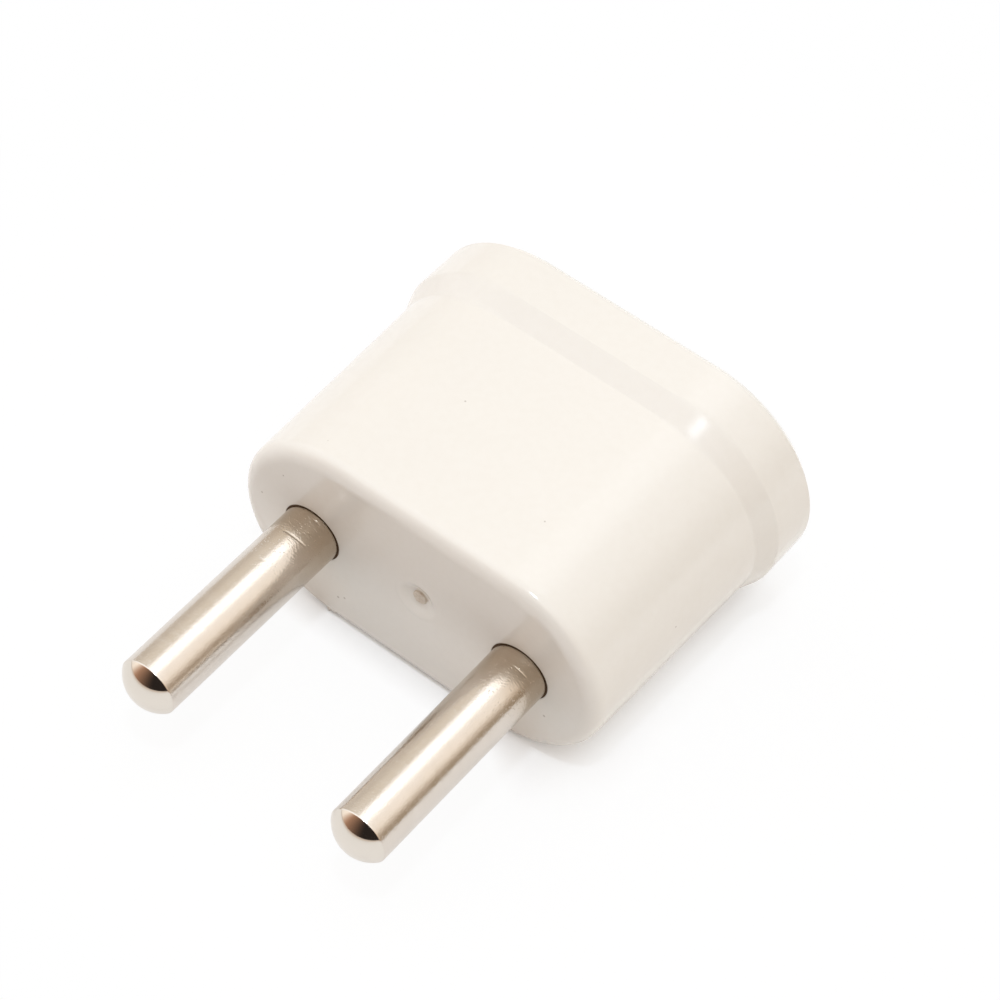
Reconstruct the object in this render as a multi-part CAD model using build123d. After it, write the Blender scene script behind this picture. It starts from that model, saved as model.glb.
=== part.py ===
from build123d import *
import os
from math import asin, atan2, degrees, radians, tan

# Two-pin travel adapter, lying on its broad flat side. Sizes are in millimetres.
# X runs across the pins, Y from the pin face to the socket end, and Z up through the thickness.
# The origin is the middle of the flat pin face, so the pins stand out towards -Y.

# Housing, outside
body_width = 32.5  # across the pin face, as if its edge were sharp
body_thickness = 17.3
body_draft = 1.1  # degrees a side, widening towards the socket end
body_length = 18.6  # pin face to the foot of the step
step_length = 1.85
step_height = 0.72  # how far the collar stands proud of the body
collar_length = 4.45
face_edge_radius = 1.2
rim_edge_chamfer = 0.5
rim_lead_in = 0.3
rim_lead_in_angle = 45  # degrees from the cover's path

# Moulding gate on the pin face: a shallow dish with the broken sprue at its bottom
gate_x = 0.3
gate_z = 0.4
gate_dish_diameter = 3.3
gate_dish_depth = 0.4
gate_stub_diameter = 1.0
gate_stub_height = 0.15

# Housing, inside
side_wall = 1.8
front_wall = 3.0
rim_wall = 1.5  # collar wall beside the cover
divider_thickness = 2.6  # insulating wall between the two contacts
divider_gap = 0.2  # divider to cover
boss_diameter = 8.6
boss_seat_height = 2.0  # front wall to the seat of the pin flange
boss_lip = 0.35  # boss above the contact tab
boss_opening = 2.0  # pin axis to the open side of the boss
boss_web = 2.0  # rib that ties the boss to the end wall

# Pins
pin_diameter = 4.8
pin_spacing = 19.0
pin_reach = 19.0  # pin face to the tip
pin_dome_height = 1.3  # rounded end of the pin
shank_diameter = 5.0  # thicker part of the pin that fits its hole
shank_recess = 0.09  # shoulder of the shank below the pin face
shank_clearance = 0.03
flange_diameter = 6.4
flange_thickness = 1.0
flange_clearance = 0.15
tail_diameter = 2.0
tail_clearance = 0.05
rivet_head_diameter = 2.8
rivet_head_height = 0.8
rivet_crown_diameter = 2.0  # flat top of the coned head

# Contacts: bronze strip folded to a fork
strip_thickness = 0.45
strip_width = 6.4
bend_radius = 0.4  # inside of each bend
rivet_to_bend_gap = 0.05
tab_clearance = 0.15
fork_gap = 1.7  # between the leaves at their roots
fork_root = 1.0  # foot of the inner leaf above the tab
bridge_length = 5.0  # along the leaves
bridge_reach = 4.2  # middle of the strip to the inside of the bridge
grip_gap = 1.0  # between the leaves where they pinch the blade
flare_gap = 3.4  # between the leaf tips
flare_length = 3.0
leaf_tip_clearance = 0.4

# Socket cover
blade_spacing = 12.7
slot_width = 2.2
slot_length = 8.4
slot_lead_in = 0.5
slot_lead_in_angle = 45  # degrees from the blade's path
cover_thickness = 2.0
cover_inset = 0.3  # cover face below the rim
cover_clearance = 0.1
cover_edge_chamfer = 0.3
guide_depth = 1.3
guide_wall = 0.9
post_web = 1.2
post_width = 4.4
post_overhang = 0.4  # post beyond the rivet head
post_clearance = 0.3  # post to leaf tip
post_end_gap = 0.1  # post to rivet head
hook_offset = 0.6  # divider to the hook's side
hook_width = 3.0
hook_thickness = 1.1
hook_length = 4.6
hook_barb = 0.6
hook_barb_length = 2.1
hook_tip = 0.5  # thickness of the barb's leading edge above the arm's inner face
hook_clearance = 0.15
hook_latch_gap = 0.1

# Levels along Y
step_y = body_length
collar_y = step_y + step_length
rim_y = collar_y + collar_length
cover_face_y = rim_y - cover_inset
cover_seat_y = cover_face_y - cover_thickness
flange_seat_y = front_wall + boss_seat_height
tab_y = flange_seat_y + flange_thickness
tab_top_y = tab_y + strip_thickness
boss_top_y = tab_top_y + boss_lip
rivet_top_y = tab_top_y + rivet_head_height
leaf_tip_y = cover_seat_y - guide_depth - leaf_tip_clearance
grip_y = leaf_tip_y - flare_length
inner_leaf_y = tab_top_y + fork_root
bridge_top_y = inner_leaf_y + bridge_length

# Widths that follow from the draft and the walls
draft_slope = tan(radians(body_draft))
step_width = body_width + 2 * step_y * draft_slope
step_thickness = body_thickness + 2 * step_y * draft_slope
collar_width = step_width + 2 * step_height
collar_thickness = step_thickness + 2 * step_height
cavity_width = body_width + 2 * front_wall * draft_slope - 2 * side_wall
cavity_thickness = body_thickness + 2 * front_wall * draft_slope - 2 * side_wall
seat_width = collar_width - 2 * rim_wall
seat_thickness = collar_thickness - 2 * rim_wall

# Places across X
pin_x = pin_spacing / 2
blade_x = blade_spacing / 2
bend_start_x = pin_x - rivet_head_diameter / 2 - rivet_to_bend_gap
outer_leaf_x = bend_start_x - bend_radius - strip_thickness
inner_leaf_x = outer_leaf_x - fork_gap


def section_plane(y):
    """Plane across the adapter at the given height along Y, facing the socket end."""
    return Plane(origin=(0, y, 0), x_dir=(1, 0, 0), z_dir=(0, 1, 0))


def block(x_range, y_range, z_range):
    """Box between two limits along each axis."""
    ranges = (x_range, y_range, z_range)
    middle = [(low + high) / 2 for low, high in ranges]
    return Pos(*middle) * Box(*[high - low for low, high in ranges])


def round_bar(x, z, y_low, y_high, diameter):
    """Cylinder along Y."""
    disc = section_plane(y_low) * Pos(x, -z) * Circle(diameter / 2)
    return extrude(disc, amount=y_high - y_low)


def stadium(y, width, thickness):
    """Round-ended outline across the adapter at the given height along Y."""
    return section_plane(y) * SlotOverall(width, thickness)


def on_both_sides(shape):
    """The shape and its mirror image on the other side of the middle."""
    return [shape, mirror(shape, about=Plane.YZ)]


def edges_at(shape, y, tolerance=0.0001):
    """Edges of the shape that lie flat at one height along Y."""
    return shape.edges().filter_by_position(Axis.Y, y - tolerance, y + tolerance)


# Housing: a drafted cup with full-round ends, a sloped step and a collar round its mouth
body = extrude(stadium(0, body_width, body_thickness), body_length, taper=-body_draft)
step_slope = degrees(atan2(step_height, step_length))
step = extrude(stadium(step_y, step_width, step_thickness), step_length, taper=-step_slope)
collar = extrude(stadium(collar_y, collar_width, collar_thickness), collar_length)
housing = body + step + collar
housing = fillet(edges_at(housing, 0), face_edge_radius)
housing = chamfer(edges_at(housing, rim_y), rim_edge_chamfer)

# The cavity is straight, and the cover's seat is a wider recess at its mouth
cavity_depth = cover_seat_y - front_wall
cavity = extrude(stadium(front_wall, cavity_width, cavity_thickness), cavity_depth)
seat = extrude(stadium(cover_seat_y, seat_width, seat_thickness), rim_y - cover_seat_y)
divider_top_y = cover_seat_y - divider_gap
divider = cavity & block(
    (-divider_thickness / 2, divider_thickness / 2),
    (front_wall, divider_top_y),
    (-body_thickness, body_thickness),
)
mouth_outline = stadium(rim_y - rim_lead_in, seat_width, seat_thickness)
mouth = extrude(mouth_outline, rim_lead_in, taper=-rim_lead_in_angle)
housing = housing - cavity - seat - mouth + divider

# Each boss is a cup for the pin's flange, open on the inner side for the contact's tab
boss_radius = boss_diameter / 2
boss_bore = max(flange_diameter, strip_width) + 2 * flange_clearance
notch_half = strip_width / 2 + tab_clearance
for side in (1, -1):
    x = side * pin_x
    boss = round_bar(x, 0, front_wall, boss_top_y, boss_diameter)
    web_x = sorted((x, side * (cavity_width + side_wall) / 2))
    boss += block(web_x, (front_wall, flange_seat_y), (-boss_web / 2, boss_web / 2))
    housing += boss & body
    housing -= round_bar(x, 0, flange_seat_y, boss_top_y, boss_bore)
    boss_side_x = x - side * boss_radius
    housing -= block(sorted((x, boss_side_x)), (tab_y, boss_top_y), (-notch_half, notch_half))
    open_x = sorted((x - side * boss_opening, boss_side_x))
    housing -= block(open_x, (tab_y, boss_top_y), (-boss_radius, boss_radius))
    housing -= round_bar(x, 0, 0, flange_seat_y, shank_diameter + 2 * shank_clearance)

# Blind pockets in the flat walls take the cover's snap hooks
hook_low_x = divider_thickness / 2 + hook_offset
hook_high_x = hook_low_x + hook_width
hook_tip_y = cover_seat_y - hook_length
hook_latch_y = hook_tip_y + hook_barb_length
hook_face_z = cavity_thickness / 2 - hook_clearance
pocket_z = hook_face_z + hook_barb + hook_clearance
pocket = block(
    (hook_low_x - hook_clearance, hook_high_x + hook_clearance),
    (hook_tip_y - hook_clearance, hook_latch_y + hook_latch_gap),
    (-pocket_z, pocket_z),
)
for cut in on_both_sides(pocket):
    housing -= cut - block((-body_width, body_width), (0, rim_y), (-hook_face_z, hook_face_z))

# Moulding gate: a spherical dish with a low stub at its deepest point
dish_sphere = ((gate_dish_diameter / 2) ** 2 + gate_dish_depth**2) / (2 * gate_dish_depth)
housing -= Pos(gate_x, gate_dish_depth - dish_sphere, gate_z) * Sphere(dish_sphere)
housing += round_bar(gate_x, gate_z, gate_dish_depth - gate_stub_height, front_wall, gate_stub_diameter)

# Socket cover: a plate that drops into the collar
cover_width = seat_width - 2 * cover_clearance
cover_height = seat_thickness - 2 * cover_clearance
cover = extrude(stadium(cover_seat_y, cover_width, cover_height), cover_thickness)
cover = chamfer(edges_at(cover, cover_face_y), cover_edge_chamfer)

# Each post keeps a pin from being pushed in, and reaches from the cover to the pin's riveted tail
leaf_flare_x = blade_x + flare_gap / 2 + strip_thickness
post_low_x = leaf_flare_x + post_clearance
post_high_x = pin_x + rivet_head_diameter / 2 + post_overhang
post_y = (rivet_top_y + post_end_gap, cover_seat_y)
post = block((post_low_x, post_high_x), post_y, (-post_web / 2, post_web / 2))
post += block((post_high_x - post_web, post_high_x), post_y, (-post_width / 2, post_width / 2))

# A guide round each slot leads the blade to the contact
guide_half_width = slot_width / 2 + guide_wall
guide_half_length = slot_length / 2 + guide_wall
guide = block(
    (blade_x - guide_half_width, blade_x + guide_half_width),
    (cover_seat_y - guide_depth, cover_seat_y),
    (-guide_half_length, guide_half_length),
)

# Each hook is a straight arm with a wedge-shaped barb that latches in its pocket
hook_section = Polyline(
    (cover_seat_y, hook_face_z - hook_thickness),
    (hook_tip_y, hook_face_z - hook_thickness),
    (hook_tip_y, hook_face_z - hook_thickness + hook_tip),
    (hook_latch_y, hook_face_z + hook_barb),
    (hook_latch_y, hook_face_z),
    (cover_seat_y, hook_face_z),
    close=True,
)
upper_hook = extrude(Plane.YZ.offset(hook_low_x) * make_face(hook_section), hook_width)
lower_hook = mirror(upper_hook, about=Plane.XY)

for piece in (post, guide, upper_hook, lower_hook):
    for shape in on_both_sides(piece):
        cover += shape

# The slots have a sloped lead-in all round
slot = section_plane(cover_seat_y - guide_depth) * Pos(blade_x, 0) * Rectangle(slot_width, slot_length)
slot = extrude(slot, guide_depth + cover_thickness)
lead_in_flare = 2 * slot_lead_in * tan(radians(slot_lead_in_angle))
lead_in_face = Rectangle(slot_width + lead_in_flare, slot_length + lead_in_flare)
lead_in_face = section_plane(cover_face_y) * Pos(blade_x, 0) * lead_in_face
lead_in = extrude(lead_in_face, -slot_lead_in, taper=slot_lead_in_angle)
for cut in on_both_sides(slot + lead_in):
    cover -= cut

# Pin: turned bar with a domed tip, a shank in the housing's wall, a flange and a riveted tail
pin_radius = pin_diameter / 2
dome_radius = (pin_radius**2 + pin_dome_height**2) / (2 * pin_dome_height)
dome_angle = degrees(asin(pin_radius / dome_radius))
tip_arc = CenterArc((0, dome_radius - pin_reach), dome_radius, -90, dome_angle)
turned_edge = Polyline(
    (pin_radius, pin_dome_height - pin_reach),
    (pin_radius, shank_recess),
    (shank_diameter / 2, shank_recess),
    (shank_diameter / 2, flange_seat_y),
    (flange_diameter / 2, flange_seat_y),
    (flange_diameter / 2, tab_y),
    (tail_diameter / 2, tab_y),
    (tail_diameter / 2, tab_top_y),
    (rivet_head_diameter / 2, tab_top_y),
    (rivet_crown_diameter / 2, rivet_top_y),
    (0, rivet_top_y),
    (0, -pin_reach),
)
pin = revolve(make_face([tip_arc, turned_edge]), Axis.Y)


def folded_strip(path_points, thickness_side):
    """Flat section of the strip along a path, with rounded bends and square ends."""
    path = FilletPolyline(*path_points, radius=bend_radius + strip_thickness)
    return make_face(offset(path, strip_thickness, side=thickness_side))


# Contact: the tab under the rivet turns up into the outer leaf, and a bridge carries the inner leaf
outer_leaf = folded_strip(
    [
        (pin_x, tab_y),
        (outer_leaf_x, tab_y),
        (outer_leaf_x, bridge_top_y),
        (blade_x + grip_gap / 2, grip_y),
        (blade_x + flare_gap / 2, leaf_tip_y),
    ],
    Side.RIGHT,
)
inner_leaf = folded_strip(
    [
        (inner_leaf_x, inner_leaf_y),
        (inner_leaf_x, bridge_top_y),
        (blade_x - grip_gap / 2, grip_y),
        (blade_x - flare_gap / 2, leaf_tip_y),
    ],
    Side.LEFT,
)
contact = extrude(outer_leaf, strip_width / 2, both=True) + extrude(inner_leaf, strip_width / 2, both=True)
tab_end = round_bar(pin_x, 0, tab_y, tab_top_y, strip_width)
contact += tab_end & block((pin_x, pin_x + strip_width), (tab_y, tab_top_y), (-strip_width, strip_width))
bridge_path = FilletPolyline(
    (outer_leaf_x, 0),
    (outer_leaf_x, -bridge_reach),
    (inner_leaf_x, -bridge_reach),
    (inner_leaf_x, 0),
    radius=bend_radius,
)
bridge = make_face(offset(bridge_path, strip_thickness, side=Side.LEFT))
contact += extrude(section_plane(inner_leaf_y) * bridge, bridge_length)
contact -= round_bar(pin_x, 0, tab_y, tab_top_y, tail_diameter + 2 * tail_clearance)

pieces = {
    "housing": housing,
    "socket_cover": cover,
    "left_pin": Pos(-pin_x, 0, 0) * pin,
    "right_pin": Pos(pin_x, 0, 0) * pin,
    "left_contact": mirror(contact, about=Plane.YZ),
    "right_contact": contact,
}
os.makedirs("parts", exist_ok=True)
for name, shape in pieces.items():
    export_step(shape, f"parts/{name}.step")
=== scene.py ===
import math
import random

import bpy
from mathutils import Matrix, Vector


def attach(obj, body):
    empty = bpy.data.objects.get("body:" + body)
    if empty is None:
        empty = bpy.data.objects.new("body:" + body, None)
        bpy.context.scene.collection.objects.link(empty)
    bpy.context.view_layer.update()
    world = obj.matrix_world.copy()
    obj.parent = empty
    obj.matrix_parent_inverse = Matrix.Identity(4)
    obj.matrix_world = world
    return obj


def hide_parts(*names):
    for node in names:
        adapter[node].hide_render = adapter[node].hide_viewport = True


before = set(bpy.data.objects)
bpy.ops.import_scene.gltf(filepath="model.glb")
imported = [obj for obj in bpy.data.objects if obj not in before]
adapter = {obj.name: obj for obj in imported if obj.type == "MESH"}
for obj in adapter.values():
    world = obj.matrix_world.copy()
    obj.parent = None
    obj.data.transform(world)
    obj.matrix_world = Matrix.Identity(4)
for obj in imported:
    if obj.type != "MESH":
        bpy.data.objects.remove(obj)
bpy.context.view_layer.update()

# Housing: one injection-moulded cup of ivory ABS, with full-round ends, a sloped step and a collar.
# The mould is polished steel, so the walls come out semi-gloss, and no edge leaves it quite sharp.
MM = 0.001


def linear(hex_colour):
    """An sRGB hex colour as linear red, green, blue and alpha."""
    parts = [int(hex_colour[i : i + 2], 16) / 255 for i in (1, 3, 5)]
    return (*[p / 12.92 if p <= 0.04045 else ((p + 0.055) / 1.055) ** 2.4 for p in parts], 1)


def add(tree, kind, settings=None, inputs=None):
    """Adds a node, gives it its settings, and links or sets its inputs."""
    made = tree.nodes.new(kind)
    for name, value in (settings or {}).items():
        setattr(made, name, value)
    for name, value in (inputs or {}).items():
        if isinstance(value, bpy.types.NodeSocket):
            tree.links.new(value, made.inputs[name])
        else:
            made.inputs[name].default_value = value
    return made


def new_material(name):
    """An empty node material, with its tree, output and a coordinate in metres on the object."""
    material = bpy.data.materials.new(name)
    material.use_nodes = True
    tree = material.node_tree
    tree.nodes.clear()
    output = add(tree, "ShaderNodeOutputMaterial")
    place = add(tree, "ShaderNodeTexCoord").outputs["Object"]
    return material, tree, output, place


def dress(node, material):
    """Gives a solid its material."""
    node.data.materials.clear()
    node.data.materials.append(material)


# Ivory ABS from a polished mould: a warm pale colour with the faintest clouding from the pigment,
# a few dark specks of burnt resin, and a skin smooth enough to mirror the pins softly.
# The pigment and the skin are finer than this on a real one, and are drawn coarser so that they show.
ivory, tree, output, place = new_material("ivory_abs_polished_mould")
pigment_cloud = 7 * MM
pigment_grain = 0.6 * MM
speck_spacing = 3.6 * MM
speck_radius = 0.1 * MM
mould_ripple = 9 * MM
ripple_height = 0.02 * MM
skin_grain = 0.35 * MM
skin_height = 0.001 * MM
abs_ior = 1.53
colours = {"data_type": "RGBA"}
tint = {"data_type": "RGBA", "blend_type": "MULTIPLY"}
clouds = add(tree, "ShaderNodeTexNoise", {}, {"Vector": place, "Scale": 1 / pigment_cloud, "Detail": 3})
grain = add(tree, "ShaderNodeTexNoise", {}, {"Vector": place, "Scale": 1 / pigment_grain, "Detail": 2})
clouded = add(
    tree,
    "ShaderNodeMix",
    colours,
    {"Factor": clouds.outputs["Fac"], 6: linear("#E9E6DF"), 7: linear("#EBE8E1")},
)
grained = add(
    tree,
    "ShaderNodeMix",
    tint,
    {
        "Factor": add(
            tree,
            "ShaderNodeMapRange",
            {},
            {"Value": grain.outputs["Fac"], "From Min": 0.35, "From Max": 0.7, "To Min": 0, "To Max": 0.15},
        ).outputs["Result"],
        6: clouded.outputs[2],
        7: linear("#F7F5F2"),
    },
)
specks = add(tree, "ShaderNodeTexVoronoi", {}, {"Vector": place, "Scale": 1 / speck_spacing})
in_speck = add(
    tree,
    "ShaderNodeMapRange",
    {},
    {
        "Value": specks.outputs["Distance"],
        "From Min": speck_radius / speck_spacing,
        "From Max": 0.5 * speck_radius / speck_spacing,
        "To Min": 0,
        "To Max": 0.4,
    },
)
# The specks on the pin face: x, z and radius in millimetres.
face_specks = [(-14.25, 0.81, 0.11), (-12.2, 4.43, 0.1), (-7.0, -5.7, 0.14), (-6.4, -5.3, 0.13)]
face_specks += [(11.95, -3.26, 0.14)]
larger = {"operation": "MAXIMUM"}
speck_share = in_speck.outputs["Result"]
for x, z, radius in face_specks:
    away = add(tree, "ShaderNodeVectorMath", {"operation": "DISTANCE"}, {0: place, 1: (x * MM, 0, z * MM)})
    on_speck = add(
        tree,
        "ShaderNodeMapRange",
        {},
        {
            "Value": away.outputs["Value"],
            "From Min": radius * MM,
            "From Max": 0.4 * radius * MM,
            "To Max": 0.5,
        },
    )
    speck_share = add(
        tree,
        "ShaderNodeMath",
        larger,
        {0: speck_share, 1: on_speck.outputs["Result"]},
    ).outputs[0]
ivory_colour = add(
    tree,
    "ShaderNodeMix",
    colours,
    {"Factor": speck_share, 6: grained.outputs[2], 7: linear("#7D6B57")},
)
ripple = add(tree, "ShaderNodeTexNoise", {}, {"Vector": place, "Scale": 1 / mould_ripple, "Detail": 1})
skin = add(tree, "ShaderNodeTexNoise", {}, {"Vector": place, "Scale": 1 / skin_grain, "Detail": 2})
# The mould's edges are sharp on the straight sides. On the step they melt into a blend at the corners
# of the oval, and less so on its round ends. Places are distances from the middle and from the pin face.
smooth = {"interpolation_type": "SMOOTHSTEP"}
times = {"operation": "MULTIPLY"}
mould_edge = 0.12 * MM
step_blend = 1.0 * MM
end_blend = 0.3
corner_start, corner_full = 6 * MM, 9.5 * MM
end_start, end_full = 10.5 * MM, 13.5 * MM
step_start, step_full = 12 * MM, 14 * MM
rim_start, rim_full = 21.5 * MM, 22.5 * MM
spot = add(tree, "ShaderNodeSeparateXYZ", {}, {"Vector": place})
from_middle = add(tree, "ShaderNodeMath", {"operation": "ABSOLUTE"}, {0: spot.outputs["X"]})
to_corner = add(
    tree,
    "ShaderNodeMapRange",
    smooth,
    {
        "Value": from_middle.outputs[0],
        "From Min": corner_start,
        "From Max": corner_full,
        "To Min": mould_edge,
        "To Max": step_blend,
    },
)
past_corner = add(
    tree,
    "ShaderNodeMapRange",
    smooth,
    {
        "Value": from_middle.outputs[0],
        "From Min": end_start,
        "From Max": end_full,
        "To Min": 1,
        "To Max": end_blend,
    },
)
on_ends = add(
    tree,
    "ShaderNodeMath",
    times,
    {0: to_corner.outputs["Result"], 1: past_corner.outputs["Result"]},
)
at_step = add(
    tree,
    "ShaderNodeMapRange",
    {},
    {"Value": spot.outputs["Y"], "From Min": step_start, "From Max": step_full},
)
step_or_face = add(
    tree,
    "ShaderNodeMix",
    {},
    {"Factor": at_step.outputs["Result"], 2: mould_edge, 3: on_ends.outputs[0]},
)
before_rim = add(
    tree,
    "ShaderNodeMapRange",
    {},
    {"Value": spot.outputs["Y"], "From Min": rim_start, "From Max": rim_full, "To Min": 1, "To Max": 0},
)
edge_radius = add(
    tree,
    "ShaderNodeMath",
    times,
    {0: step_or_face.outputs[0], 1: before_rim.outputs["Result"]},
)
edges = add(tree, "ShaderNodeBevel", {"samples": 4}, {"Radius": edge_radius.outputs[0]})
rippled = add(
    tree,
    "ShaderNodeBump",
    {},
    {
        "Height": ripple.outputs["Fac"],
        "Distance": ripple_height,
        "Strength": 0.6,
        "Normal": edges.outputs["Normal"],
    },
)
grained_skin = add(
    tree,
    "ShaderNodeBump",
    {},
    {
        "Height": skin.outputs["Fac"],
        "Distance": skin_height,
        "Strength": 0.6,
        "Normal": rippled.outputs["Normal"],
    },
)
gloss = add(
    tree,
    "ShaderNodeMapRange",
    {},
    {"Value": clouds.outputs["Fac"], "From Min": 0.3, "From Max": 0.7, "To Min": 0.13, "To Max": 0.17},
)
ivory_surface = add(
    tree,
    "ShaderNodeBsdfPrincipled",
    {},
    {
        "Base Color": ivory_colour.outputs[2],
        "Roughness": gloss.outputs["Result"],
        "IOR": abs_ior,
        "Normal": grained_skin.outputs["Normal"],
    },
)
tree.links.new(ivory_surface.outputs["BSDF"], output.inputs["Surface"])
dress(adapter["housing"], ivory)

# Gate mark: a low rim round the dish where the resin came in, and the stub of the sprue at its bottom.
# The sprue was twisted off by hand, so the stub is torn, with a pit in its middle.
crease = math.radians(35)


def make_piece(name, points, faces, material):
    """A mesh that rides on the adapter."""
    mesh = bpy.data.meshes.new(name)
    mesh.from_pydata(points, [], faces)
    mesh.polygons.foreach_set("use_smooth", [True] * len(mesh.polygons))
    mesh.set_sharp_from_angle(angle=crease)
    mesh.materials.append(material)
    piece = bpy.data.objects.new(name, mesh)
    bpy.context.scene.collection.objects.link(piece)
    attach(piece, "root")
    return piece


def ring_piece(name, middle, section, steps, material, wobble=0, seed=0):
    """A closed ring about an axis along Y, with a closed section of (radius, y) points."""
    draw = random.Random(seed)
    count = len(section)
    points = []
    for step in range(steps):
        turn = math.tau * step / steps
        sway = draw.uniform(-wobble, wobble)
        for radius, y in section:
            spoke = Vector((math.cos(turn), 0, math.sin(turn))) * radius
            points.append(Vector(middle) + spoke + Vector((0, y + sway, 0)))
    faces = []
    for step in range(steps):
        here = step * count
        ahead = (step + 1) % steps * count
        for i in range(count):
            j = (i + 1) % count
            faces.append((here + i, here + j, ahead + j, ahead + i))
    return make_piece(name, points, faces, material)


gate_middle = Vector((0.3, 0, 0.4)) * MM
rim_steps = 72
rim_section = [(2.5, 0.03), (2.15, 0.001), (2.0, -0.008), (1.85, -0.014), (1.72, -0.01), (1.62, 0.006)]
rim_section += [(1.5, 0.04), (1.38, 0.085), (1.25, 0.145), (1.12, 0.21), (1.0, 0.27), (0.9, 0.325)]
rim_section += [(0.8, 0.37), (0.72, 0.398), (1.25, 0.396), (2.5, 0.2)]
rim_section = [(radius * MM, y * MM) for radius, y in rim_section]
ring_piece("gate_rim", gate_middle, rim_section, rim_steps, ivory)

# Torn ABS: dull and a little scorched, with darker hollows between its fibres.
torn, tree, output, place = new_material("torn_abs_at_the_gate")
tear = 0.22 * MM
tears = add(tree, "ShaderNodeTexNoise", {}, {"Vector": place, "Scale": 1 / tear, "Detail": 3})
torn_colour = add(
    tree,
    "ShaderNodeMix",
    colours,
    {"Factor": tears.outputs["Fac"], 6: linear("#BCAB94"), 7: linear("#F0EAE0")},
)
torn_surface = add(
    tree,
    "ShaderNodeBsdfPrincipled",
    {},
    {"Base Color": torn_colour.outputs[2], "Roughness": 0.6, "IOR": abs_ior},
)
tree.links.new(torn_surface.outputs["BSDF"], output.inputs["Surface"])
stub_rings = [(0.14, 0.238), (0.27, 0.225), (0.38, 0.205), (0.47, 0.2)]
stub_rings += [(0.535, 0.205), (0.58, 0.29), (0.62, 0.4)]
stub_steps = 30
stub_pit = 0.243
tear_height = 0.035
tear_sway = 0.06
pit_reach = 0.3
draw = random.Random(11)
stub_points = [gate_middle + Vector((0, stub_pit, 0)) * MM]
for ring, (radius, y) in enumerate(stub_rings):
    rough = tear_height if ring < len(stub_rings) - 1 else 0
    for step in range(stub_steps):
        turn = math.tau * step / stub_steps
        reach = radius * (1 + draw.uniform(-tear_sway, tear_sway))
        depth = y + draw.uniform(-rough, rough if radius > pit_reach else 0)
        stub_points.append(gate_middle + Vector((reach * math.cos(turn), depth, reach * math.sin(turn))) * MM)
stub_faces = [(0, 1 + (step + 1) % stub_steps, 1 + step) for step in range(stub_steps)]
for ring in range(len(stub_rings) - 1):
    for step in range(stub_steps):
        a = 1 + ring * stub_steps + step
        b = 1 + ring * stub_steps + (step + 1) % stub_steps
        stub_faces.append((a, b, b + stub_steps, a + stub_steps))
stub_faces.append(tuple(range(len(stub_points) - stub_steps, len(stub_points))))
make_piece("gate_stub", stub_points, stub_faces, torn)

# Burr: a sliver of flash on the lower edge of the pin face, where the two halves of the mould met.
# It was never trimmed, and its thin edge stands up to three tenths of a millimetre off the corner.
burr_heights = [0, 0.16, 0.3, 0.26, 0.12, 0.16, 0.2, 0.14, 0.07, 0]
burr_start = -8.35
burr_step = 0.13
burr_half = 0.13
burr_sunk = 0.04
burr_edge = 0.02
corner = Vector((0, 0.351, -8.299))
outward = Vector((0, -1, -1)).normalized()
down_the_face = Vector((0, 1, -1)).normalized()
burr_points = []
for i, height in enumerate(burr_heights):
    foot = corner + Vector((burr_start + burr_step * i, 0, 0)) - burr_sunk * outward
    burr_points.append((foot - burr_half * down_the_face) * MM)
    burr_points.append((foot + (height + burr_edge) * outward) * MM)
    burr_points.append((foot + burr_half * down_the_face) * MM)
burr_faces = [(0, 1, 2), tuple(len(burr_points) - k for k in (1, 2, 3))]
for i in range(len(burr_heights) - 1):
    for k in range(3):
        a = 3 * i + k
        b = 3 * i + (k + 1) % 3
        burr_faces.append((a, a + 3, b + 3, b))
make_piece("mould_burr", burr_points, burr_faces, ivory)

# Pins: turned from brass bar and nickel plated, with a flange and a riveted tail inside the housing.
# Each drops into its hole from inside, and the plate shows the lathe's rings and the marks of use.

# Bright nickel plate on turned brass: a warm silver, satin along the shaft from fine pits and lathe rings
# and bright on the dome, with scuffs round the root where springs in wall sockets have rubbed.
# The rings, grain and pits are drawn a little coarser than real ones, so that they show.
nickel, tree, output, place = new_material("bright_nickel_plate_on_turned_brass")
ring_spacing = 0.12 * MM
scratch_spacing = 0.5 * MM
pit_spacing = 0.22 * MM
plate_grain = 0.16 * MM
plate_cloud = 1.5 * MM
dome_edge_y = -17.7 * MM
turned_stretch = (0.08, 1, 0.08)
rub_start, rub_full = -8 * MM, -1 * MM
# Painted shade: the plate's colour darkens and warms towards the root, where it mirrors the shaded face.
root_shade_start, root_shade_full = -5 * MM, -1 * MM
ring_height = 0.0015 * MM
grain_height = 0.009 * MM
pit_height = 0.013 * MM
dome_polish = 0.07
around = add(tree, "ShaderNodeMapping", {"vector_type": "POINT"}, {"Vector": place, "Scale": turned_stretch})
rings = add(
    tree,
    "ShaderNodeTexNoise",
    {},
    {"Vector": around.outputs["Vector"], "Scale": 1 / ring_spacing, "Detail": 2},
)
scratches = add(
    tree,
    "ShaderNodeTexNoise",
    {},
    {"Vector": around.outputs["Vector"], "Scale": 1 / scratch_spacing, "Detail": 4},
)
plate = add(tree, "ShaderNodeTexNoise", {}, {"Vector": place, "Scale": 1 / plate_cloud, "Detail": 4})
along_pin = add(tree, "ShaderNodeSeparateXYZ", {}, {"Vector": place}).outputs["Y"]
on_shaft = add(
    tree,
    "ShaderNodeMapRange",
    {},
    {"Value": along_pin, "From Min": dome_edge_y - 0.1 * MM, "From Max": dome_edge_y},
)
near_root = add(
    tree,
    "ShaderNodeMapRange",
    {},
    {"Value": along_pin, "From Min": rub_start, "From Max": rub_full, "To Min": 0.35, "To Max": 1},
)
shaft_colour = add(
    tree,
    "ShaderNodeMix",
    colours,
    {"Factor": plate.outputs["Fac"], 6: linear("#D5CDC3"), 7: linear("#DCD5CD")},
)
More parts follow.
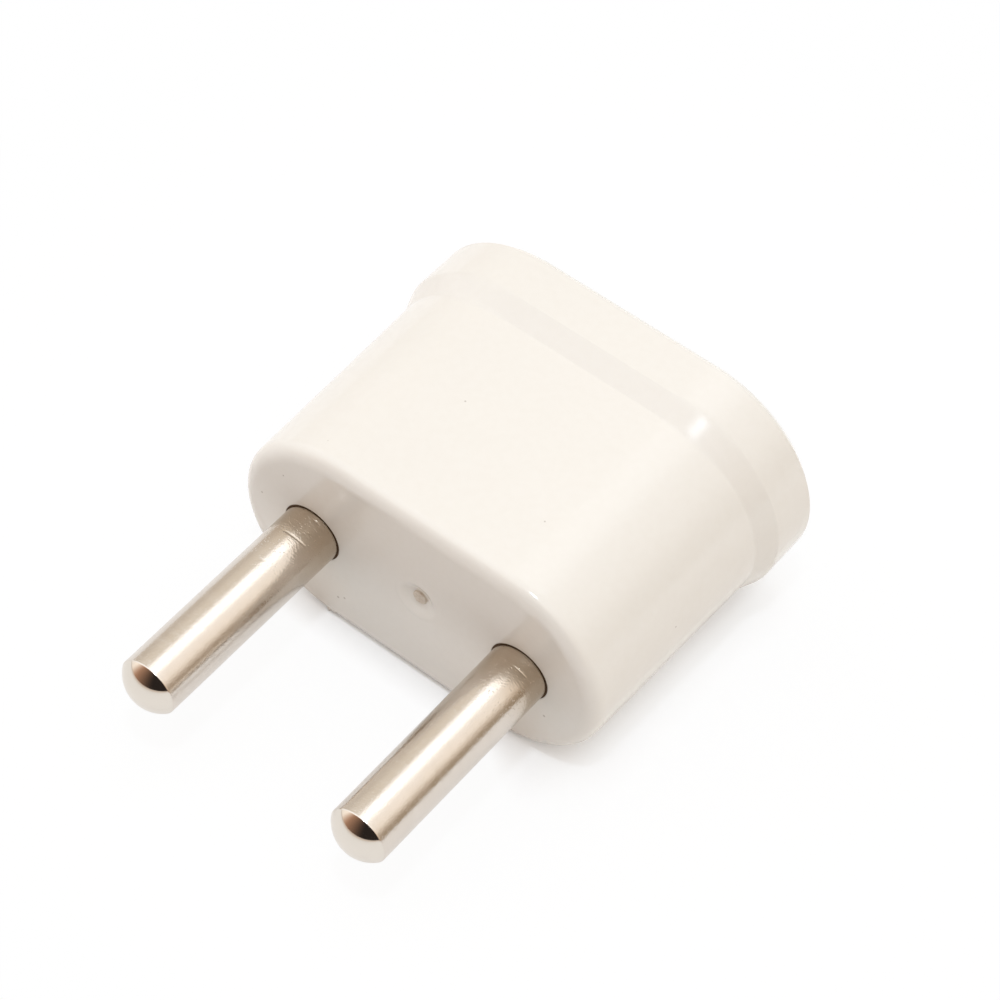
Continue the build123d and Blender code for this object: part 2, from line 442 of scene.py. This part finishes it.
plate_colour = add(
    tree,
    "ShaderNodeMix",
    colours,
    {"Factor": on_shaft.outputs["Result"], 6: linear("#DCD6CD"), 7: shaft_colour.outputs[2]},
)
# Painted shade near the root: the plate's colour is tinted darker there.
root_shade_reach = add(
    tree,
    "ShaderNodeMapRange",
    smooth,
    {"Value": along_pin, "From Min": root_shade_start, "From Max": root_shade_full, "To Max": 0.9},
)
root_shaded_plate = add(
    tree,
    "ShaderNodeMix",
    tint,
    {"Factor": root_shade_reach.outputs["Result"], 6: plate_colour.outputs[2], 7: linear("#DFD5C7")},
)
satin = add(
    tree,
    "ShaderNodeMapRange",
    {},
    {"Value": scratches.outputs["Fac"], "From Min": 0.4, "From Max": 0.7, "To Min": 0.15, "To Max": 0.24},
)
polish = add(
    tree,
    "ShaderNodeMix",
    {},
    {"Factor": on_shaft.outputs["Result"], 2: dome_polish, 3: satin.outputs["Result"]},
)
pits = add(tree, "ShaderNodeTexVoronoi", {}, {"Vector": place, "Scale": 1 / pit_spacing})
pit_depth = add(
    tree,
    "ShaderNodeMapRange",
    {},
    {"Value": pits.outputs["Distance"], "From Min": 0.06, "From Max": 0.24},
)
pit_share = add(
    tree,
    "ShaderNodeMath",
    times,
    {0: near_root.outputs["Result"], 1: on_shaft.outputs["Result"]},
)
ringed = add(
    tree,
    "ShaderNodeBump",
    {},
    {"Height": rings.outputs["Fac"], "Distance": ring_height, "Strength": 0.5},
)
skin_of_plate = add(tree, "ShaderNodeTexNoise", {}, {"Vector": place, "Scale": 1 / plate_grain, "Detail": 2})
grained_plate = add(
    tree,
    "ShaderNodeBump",
    {},
    {
        "Height": skin_of_plate.outputs["Fac"],
        "Distance": grain_height,
        "Strength": on_shaft.outputs["Result"],
        "Normal": ringed.outputs["Normal"],
    },
)
pitted = add(
    tree,
    "ShaderNodeBump",
    {},
    {
        "Height": pit_depth.outputs["Result"],
        "Distance": pit_height,
        "Strength": pit_share.outputs[0],
        "Normal": grained_plate.outputs["Normal"],
    },
)
nickel_surface = add(
    tree,
    "ShaderNodeBsdfPrincipled",
    {},
    {
        "Base Color": root_shaded_plate.outputs[2],
        "Metallic": 1,
        "Roughness": polish.outputs[0],
        "Normal": pitted.outputs["Normal"],
    },
)
tree.links.new(nickel_surface.outputs["BSDF"], output.inputs["Surface"])
pin_radius = 2.4
pin_reach = 19.0
dome_radius = 2.865
dome_edge = 0.2
dome_middle = dome_radius - pin_reach
edge_rise = math.sqrt((dome_radius - dome_edge) ** 2 - (pin_radius - dome_edge) ** 2)
edge_turn = math.atan2(pin_radius - dome_edge, edge_rise)
dome_rows = 24
edge_rows = 8
pin_rows = []
for i in range(1, dome_rows + 1):
    sweep = edge_turn * i / dome_rows
    pin_rows.append((dome_radius * math.sin(sweep), dome_middle - dome_radius * math.cos(sweep)))
for i in range(1, edge_rows + 1):
    sweep = edge_turn + (math.pi / 2 - edge_turn) * i / edge_rows
    pin_rows.append(
        (
            pin_radius - dome_edge + dome_edge * math.sin(sweep),
            dome_middle - edge_rise - dome_edge * math.cos(sweep),
        )
    )
shaft_start, shaft_row, shaft_rows = -17.0, 0.08, 175
root_start, root_row, root_rows = -3.0, 0.04, 78
pin_rows += [(pin_radius, shaft_start + shaft_row * i) for i in range(shaft_rows)]
pin_rows += [(pin_radius, root_start + root_row * i) for i in range(root_rows)]
shoulder_and_flange = [(2.5, 0.09), (2.5, 5.0), (3.2, 5.0), (3.2, 6.0)]
riveted_tail = [(1.0, 6.0), (1.0, 6.45), (1.4, 6.45), (1.0, 7.25)]
pin_rows += shoulder_and_flange + riveted_tail
pin_steps = 180
# Each mark: its place along the pin, its start and end round it in degrees, lean, half width and depth.
marks = {
    "left_pin": [
        (-2.45, 54, 104, 0.002, 0.12, 0.017),
        (-0.42, 64, 84, 0.002, 0.12, 0.01),
        (-5.35, 82, 98, 0.026, 0.14, 0.012),
        (-11.6, 32, 94, 0.027, 0.13, 0.008),
    ],
    "right_pin": [(-1.25, 50, 84, 0.002, 0.12, 0.014), (-0.6, 64, 76, 0.002, 0.1, 0.01)],
}
pin_spacing = 19.0
for pin, x in (("left_pin", -pin_spacing / 2), ("right_pin", pin_spacing / 2)):
    pin_points = []
    for radius, y in pin_rows:
        for step in range(pin_steps):
            turn = 360 * step / pin_steps
            reach = radius
            for mark_y, start, end, lean, half_width, depth in marks[pin]:
                offset = abs(y - mark_y + lean * (turn - start)) / half_width
                if start < turn < end and offset < 1:
                    fade = math.sin(math.pi * (turn - start) / (end - start)) ** 0.5
                    reach = radius - depth * fade * (1 - offset**2)
            spoke = Vector((math.cos(math.radians(turn)), 0, math.sin(math.radians(turn)))) * reach
            pin_points.append((spoke + Vector((x, y, 0))) * MM)
    pin_faces = []
    for row in range(len(pin_rows) - 1):
        for step in range(pin_steps):
            a = row * pin_steps + step
            b = row * pin_steps + (step + 1) % pin_steps
            pin_faces.append((a, a + pin_steps, b + pin_steps, b))
    tip = len(pin_points)
    pin_points.append(Vector((x, -pin_reach, 0)) * MM)
    pin_faces += [(step, (step + 1) % pin_steps, tip) for step in range(pin_steps)]
    pin_faces.append(tuple(tip - 1 - step for step in range(pin_steps)))
    piece = make_piece(f"{pin}_plated", pin_points, pin_faces, nickel)
    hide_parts(pin)

# Gap shade: a thin dark ring of painted shade in the narrow gap between each pin and its hole.
# It sits on the shoulder of the pin, just below the face, and darkens the gap.

# Painted gap shade: matt and dark brown, mottled.
gap_shade, tree, output, place = new_material("painted_gap_shade")
gap_shade_mottle = 0.15 * MM
gap_shade_noise = add(tree, "ShaderNodeTexNoise", {}, {"Vector": place, "Scale": 1 / gap_shade_mottle, "Detail": 3})
gap_shade_colour = add(
    tree,
    "ShaderNodeMix",
    colours,
    {"Factor": gap_shade_noise.outputs["Fac"], 6: linear("#4A3A2B"), 7: linear("#6E5A47")},
)
gap_shade_surface = add(
    tree,
    "ShaderNodeBsdfPrincipled",
    {},
    {"Base Color": gap_shade_colour.outputs[2], "Roughness": 0.85, "Specular IOR Level": 0.2},
)
tree.links.new(gap_shade_surface.outputs["BSDF"], output.inputs["Surface"])
gap_inner = 2.402 * MM
gap_outer = 2.528 * MM
gap_floor = 0.087 * MM
gap_shade_top = 0.035 * MM
gap_shade_steps = 90
gap_shade_wobble = 0.002 * MM
gap_shade_section = [(gap_inner, gap_floor), (gap_inner, gap_shade_top)]
gap_shade_section += [(gap_outer, gap_shade_top), (gap_outer, gap_floor)]
# One ring of painted shade in each pin's gap.
for side, x in (("left", -pin_spacing / 2), ("right", pin_spacing / 2)):
    name = f"{side}_pin_gap_shade"
    ring_piece(name, (x * MM, 0, 0), gap_shade_section, gap_shade_steps, gap_shade, gap_shade_wobble, seed=5)

# Contacts: each is a fork folded from bronze strip and riveted to the tail of its pin.
# The leaves sit behind the blade slots and pinch the blade of the plug that is pushed in.

# Rolled spring bronze: a reddish yellow metal, dull from handling, with rolling lines along the leaves.
bronze, tree, output, place = new_material("rolled_spring_bronze")
rolling_line = 0.15 * MM
line_height = 0.002 * MM
tarnish_patch = 2 * MM
rolled_stretch = (1, 0.05, 1)
along = add(tree, "ShaderNodeMapping", {"vector_type": "POINT"}, {"Vector": place, "Scale": rolled_stretch})
lines = add(
    tree,
    "ShaderNodeTexNoise",
    {},
    {"Vector": along.outputs["Vector"], "Scale": 1 / rolling_line, "Detail": 3},
)
tarnish = add(tree, "ShaderNodeTexNoise", {}, {"Vector": place, "Scale": 1 / tarnish_patch, "Detail": 4})
bronze_colour = add(
    tree,
    "ShaderNodeMix",
    colours,
    {"Factor": tarnish.outputs["Fac"], 6: linear("#B98652"), 7: linear("#D9A66C")},
)
bronze_dullness = add(
    tree,
    "ShaderNodeMapRange",
    {},
    {"Value": tarnish.outputs["Fac"], "From Min": 0.3, "From Max": 0.7, "To Min": 0.38, "To Max": 0.24},
)
rolled = add(
    tree,
    "ShaderNodeBump",
    {},
    {"Height": lines.outputs["Fac"], "Distance": line_height, "Strength": 0.6},
)
bronze_surface = add(
    tree,
    "ShaderNodeBsdfPrincipled",
    {},
    {
        "Base Color": bronze_colour.outputs[2],
        "Metallic": 1,
        "Roughness": bronze_dullness.outputs["Result"],
        "Normal": rolled.outputs["Normal"],
    },
)
tree.links.new(bronze_surface.outputs["BSDF"], output.inputs["Surface"])
for contact in ("left_contact", "right_contact"):
    dress(adapter[contact], bronze)

# Socket cover: an ivory ABS plate with two blade slots, moulded from the same resin as the housing.
# Four hooks snap into the housing, and two posts hold the pins down.
dress(adapter["socket_cover"], ivory)

# Table: a sheet of white paper under the adapter, which lies on its collar and the lower edge of its body.
# The collar is the thicker end, so in the adapter's own frame the sheet slopes by about three degrees.
collar_foot = Vector((0, 20.45, -9.727)) * MM
body_foot = Vector((0, 1.15, -8.672)) * MM
table_slope = math.atan2(body_foot.z - collar_foot.z, collar_foot.y - body_foot.y)
table_radius = 1.6
table_steps = 64
table_mesh = bpy.data.meshes.new("white_paper_sheet")
turns = [math.tau * i / table_steps for i in range(table_steps)]
rim = [Vector((math.cos(turn), math.sin(turn), 0)) * table_radius for turn in turns]
table_mesh.from_pydata(rim, [], [list(range(table_steps))])
table = bpy.data.objects.new("white_paper_sheet", table_mesh)
table.matrix_world = Matrix.Translation(collar_foot) @ Matrix.Rotation(-table_slope, 4, "X")
bpy.context.scene.collection.objects.link(table)

# White matt paper: fibres give it a faint tooth. To the camera, and in part to the metal, it is white as a
# lit backdrop is. It keeps a shade under the body, short in front and longest at the right end. Its colour
# darkens and warms towards the open side of the tent, as painted shade.
paper, tree, output, place = new_material("white_matt_paper")
fibre = 0.4 * MM
tooth_height = 0.01 * MM
front_start, front_full = -58 * MM, -190 * MM
mirrored_share = 0.3
white_start, white_full, white_near = 35 * MM, 60 * MM, 0.92
front_shade, end_shade = 2.5 * MM, 5 * MM
front_of_end, middle_of_end = 9 * MM, 12.5 * MM
shade_edge, shade_end = 13 * MM, 15 * MM
deep_shade, thin_shade = 1.2, 0.55
fibres = add(tree, "ShaderNodeTexNoise", {}, {"Vector": place, "Scale": 1 / fibre, "Detail": 4})
paper_tooth = add(
    tree,
    "ShaderNodeBump",
    {},
    {"Height": fibres.outputs["Fac"], "Distance": tooth_height, "Strength": 0.2},
)
paper_colour = add(
    tree,
    "ShaderNodeMix",
    colours,
    {"Factor": fibres.outputs["Fac"], 6: linear("#F5F5F5"), 7: linear("#F8F8F8")},
)
along_table = add(tree, "ShaderNodeSeparateXYZ", {}, {"Vector": place})
to_front = add(
    tree,
    "ShaderNodeMapRange",
    smooth,
    {"Value": along_table.outputs["Y"], "From Min": front_start, "From Max": front_full},
)
# Painted shade: the paper's colour darkens and warms towards the front.
paper_painted_shade = add(
    tree,
    "ShaderNodeMix",
    tint,
    {"Factor": to_front.outputs["Result"], 6: paper_colour.outputs[2], 7: linear("#D2BCA6")},
)
light_path = add(tree, "ShaderNodeLightPath")
mirrored = add(
    tree,
    "ShaderNodeMath",
    times,
    {0: light_path.outputs["Is Glossy Ray"], 1: mirrored_share},
)
seen = add(
    tree,
    "ShaderNodeMath",
    larger,
    {0: light_path.outputs["Is Camera Ray"], 1: mirrored.outputs[0]},
)
seen_or_through = add(
    tree,
    "ShaderNodeMath",
    larger,
    {0: seen.outputs[0], 1: light_path.outputs["Is Transmission Ray"]},
)
paper_surface = add(
    tree,
    "ShaderNodeBsdfPrincipled",
    {},
    {
        "Base Color": paper_painted_shade.outputs[2],
        "Roughness": 0.7,
        "Specular IOR Level": 0.2,
        "Normal": paper_tooth.outputs["Normal"],
    },
)
backdrop_white = add(tree, "ShaderNodeEmission", {}, {"Color": (1, 1, 1, 1), "Strength": 1})
from_adapter = add(tree, "ShaderNodeVectorMath", {"operation": "LENGTH"}, {0: place})
far_share = add(
    tree,
    "ShaderNodeMapRange",
    smooth,
    {
        "Value": from_adapter.outputs["Value"],
        "From Min": white_start,
        "From Max": white_full,
        "To Min": white_near,
        "To Max": 1,
    },
)
shade_reach = add(
    tree,
    "ShaderNodeMapRange",
    {},
    {
        "Value": along_table.outputs["X"],
        "From Min": front_of_end,
        "From Max": middle_of_end,
        "To Min": front_shade,
        "To Max": end_shade,
    },
)
open_sky = add(
    tree,
    "ShaderNodeAmbientOcclusion",
    {"samples": 4},
    {"Distance": shade_reach.outputs["Result"]},
)
lit_from_right = add(
    tree,
    "ShaderNodeMapRange",
    {},
    {
        "Value": along_table.outputs["X"],
        "From Min": shade_edge,
        "From Max": shade_end,
        "To Min": deep_shade,
        "To Max": thin_shade,
    },
)
in_the_open = add(
    tree,
    "ShaderNodeMath",
    {"operation": "POWER"},
    {0: open_sky.outputs["AO"], 1: lit_from_right.outputs["Result"]},
)
open_share = add(
    tree,
    "ShaderNodeMath",
    times,
    {0: far_share.outputs["Result"], 1: in_the_open.outputs[0]},
)
lifted = add(
    tree,
    "ShaderNodeMath",
    times,
    {0: seen_or_through.outputs[0], 1: open_share.outputs[0]},
)
paper_seen = add(
    tree,
    "ShaderNodeMixShader",
    {},
    {"Fac": lifted.outputs[0], 1: paper_surface.outputs["BSDF"], 2: backdrop_white.outputs["Emission"]},
)
tree.links.new(paper_seen.outputs["Shader"], output.inputs["Surface"])
table.data.materials.append(paper)

# Light tent: white cloth walls, brighter towards the top, with its front side open to a dark room.
# The opening is what the pin tips mirror, and it leaves the pin face in softer light than the top.
world = bpy.data.worlds.new("light_tent")
bpy.context.scene.world = world
world.use_nodes = True
tree = world.node_tree
tree.nodes.clear()
direction = add(tree, "ShaderNodeTexCoord").outputs["Generated"]
axes = add(tree, "ShaderNodeSeparateXYZ", {}, {"Vector": direction})
forward = add(tree, "ShaderNodeMath", times, {0: axes.outputs["Y"], 1: -1})
ahead = add(tree, "ShaderNodeMath", larger, {0: forward.outputs[0], 1: 0.0001})
room_side = add(tree, "ShaderNodeMath", {"operation": "DIVIDE"}, {0: axes.outputs["X"], 1: ahead.outputs[0]})
rise = add(tree, "ShaderNodeMath", {"operation": "DIVIDE"}, {0: axes.outputs["Z"], 1: ahead.outputs[0]})
# The opening's left jamb, right jamb, sill and lintel: each fades from the cloth to the room.
opening_sides = [(room_side, -1.9, -0.7), (room_side, 2.1, 1.3), (rise, -0.06, 0.04), (rise, 1.78, 1.68)]
opening = 1
for measure, cloth, clear in opening_sides:
    inside = add(
        tree,
        "ShaderNodeMapRange",
        smooth,
        {"Value": measure.outputs[0], "From Min": cloth, "From Max": clear},
    )
    opening = add(tree, "ShaderNodeMath", times, {0: opening, 1: inside.outputs["Result"]}).outputs[0]
across = add(tree, "ShaderNodeMath", {"operation": "ARCTAN2"}, {0: axes.outputs["X"], 1: axes.outputs["Z"]})
turn_share = add(
    tree,
    "ShaderNodeMapRange",
    {},
    {"Value": across.outputs[0], "From Min": -math.pi, "From Max": math.pi},
)
tent_light = 1.95
back_start, back_full = 0.2, 0.38
far_start, far_full = 0.58, 0.74
dark_side, lit_wall = 0.3, -1.2
# The cloth's shade by the angle across the tent, in degrees from straight up to the right.
back_cloth = [(-180, "#BCBCBC"), (-95, "#AAA29A"), (-75, "#A69E94"), (-45, "#B8B0A5"), (-27, "#BAB3AA")]
back_cloth += [(-13, "#FFFFFF"), (8, "#FFFFFF"), (20, "#D6D0CA"), (50, "#D1C9C0"), (62, "#B9AEA2")]
back_cloth += [(74, "#8C7F70"), (96, "#817462"), (108, "#ACA8A5"), (180, "#BCBCBC")]
front_cloth = [(-180, "#BCBCBC"), (-95, "#CACACA"), (-60, "#DCDCDC"), (-20, "#E6E9ED"), (30, "#E1DFDD")]
front_cloth += [(60, "#BEAF9F"), (95, "#7A6A5C"), (108, "#95897C"), (180, "#BCBCBC")]
ramps = []
for stops in (back_cloth, front_cloth):
    ramp_node = add(tree, "ShaderNodeValToRGB", {}, {"Fac": turn_share.outputs[0]})
    ramp = ramp_node.color_ramp
    for i, (angle, shade) in enumerate(stops):
        share = (angle + 180) / 360
        if 0 < i < len(stops) - 1:
            ramp.elements.new(share)
        ramp.elements[i].position = share
        ramp.elements[i].color = linear(shade)
    ramps.append(ramp_node)
in_back = add(
    tree,
    "ShaderNodeMapRange",
    smooth,
    {"Value": axes.outputs["Y"], "From Min": back_start, "From Max": back_full},
)
tent_cloth = add(
    tree,
    "ShaderNodeMix",
    colours,
    {"Factor": in_back.outputs["Result"], 6: ramps[1].outputs["Color"], 7: ramps[0].outputs["Color"]},
)
far_back = add(
    tree,
    "ShaderNodeMapRange",
    smooth,
    {"Value": axes.outputs["Y"], "From Min": far_start, "From Max": far_full},
)
dim_back = add(
    tree,
    "ShaderNodeMix",
    tint,
    {"Factor": far_back.outputs["Result"], 6: tent_cloth.outputs[2], 7: linear("#808080")},
)
warm_front = add(
    tree,
    "ShaderNodeMix",
    {"data_type": "RGBA", "blend_type": "MULTIPLY", "clamp_factor": True},
    {"Factor": forward.outputs[0], 6: dim_back.outputs[2], 7: linear("#FFE6CC")},
)
lit_side = add(
    tree,
    "ShaderNodeMapRange",
    smooth,
    {"Value": room_side.outputs[0], "From Min": dark_side, "From Max": lit_wall},
)
room = add(
    tree,
    "ShaderNodeMix",
    colours,
    {"Factor": lit_side.outputs["Result"], 6: linear("#211C1A"), 7: linear("#93715C")},
)
tent_colour = add(
    tree,
    "ShaderNodeMix",
    colours,
    {"Factor": opening, 6: warm_front.outputs[2], 7: room.outputs[2]},
)
tent = add(tree, "ShaderNodeBackground", {}, {"Color": tent_colour.outputs[2], "Strength": tent_light})
white_backdrop = add(tree, "ShaderNodeBackground", {}, {"Color": (1, 1, 1, 1), "Strength": 1})
light_path = add(tree, "ShaderNodeLightPath")
seen_world = add(
    tree,
    "ShaderNodeMixShader",
    {},
    {
        "Fac": light_path.outputs["Is Camera Ray"],
        1: tent.outputs["Background"],
        2: white_backdrop.outputs["Background"],
    },
)
output = add(tree, "ShaderNodeOutputWorld")
tree.links.new(seen_world.outputs["Shader"], output.inputs["Surface"])

# Key lamp: a small round head above the tent's roof, a little to the front and right of the adapter.
# It gives the two small glints on the step and on the front edge, and the soft shadows under the pins.
lamp_way = Vector((0.121, -0.197, 0.973)).normalized()
lamp_distance = 0.6
lamp_width = 0.045
lamp_radiance = 167
lamp_data = bpy.data.lights.new("key_lamp", "AREA")
lamp_data.shape = "DISK"
lamp_data.color = linear("#E1F0FF")[:3]
lamp_data.size = lamp_width
lamp_data.energy = math.pi * math.pi * (lamp_width / 2) ** 2 * lamp_radiance
lamp = bpy.data.objects.new("key_lamp", lamp_data)
lamp.location = lamp_way * lamp_distance
lamp.rotation_mode = "QUATERNION"
lamp.rotation_quaternion = lamp_way.to_track_quat("Z", "Y")
bpy.context.scene.collection.objects.link(lamp)

# Camera: in front, to the right and high up, with a long lens, held a few degrees off level.
# Its place, turn and lens come from a pinhole fit to the adapter's outline.
view_turn, view_rise, view_roll = (math.radians(a) for a in (34.977, 52.108, 4.143))
view_distance = 244.968 * MM
aim_right = 6.116 * MM
aim_up = 7.192 * MM
sensor = 36.0
lens_to_sensor = 3.437614
back = Vector(
    (
        math.sin(view_turn) * math.cos(view_rise),
        -math.cos(view_turn) * math.cos(view_rise),
        math.sin(view_rise),
    )
)
level_right = Vector((math.cos(view_turn), math.sin(view_turn), 0))
level_up = back.cross(level_right)
right = math.cos(view_roll) * level_right + math.sin(view_roll) * level_up
up = math.cos(view_roll) * level_up - math.sin(view_roll) * level_right
camera_data = bpy.data.cameras.new("camera")
camera_data.sensor_width = sensor
camera_data.lens = lens_to_sensor * sensor
camera_data.clip_start = 0.01
camera_data.clip_end = 20
camera = bpy.data.objects.new("camera", camera_data)
turned = Matrix((right, up, back)).transposed().to_4x4()
camera.matrix_world = Matrix.Translation(aim_right * right + aim_up * up + view_distance * back) @ turned
bpy.context.scene.collection.objects.link(camera)
bpy.context.scene.camera = camera
bpy.context.scene.view_settings.view_transform = "Standard"
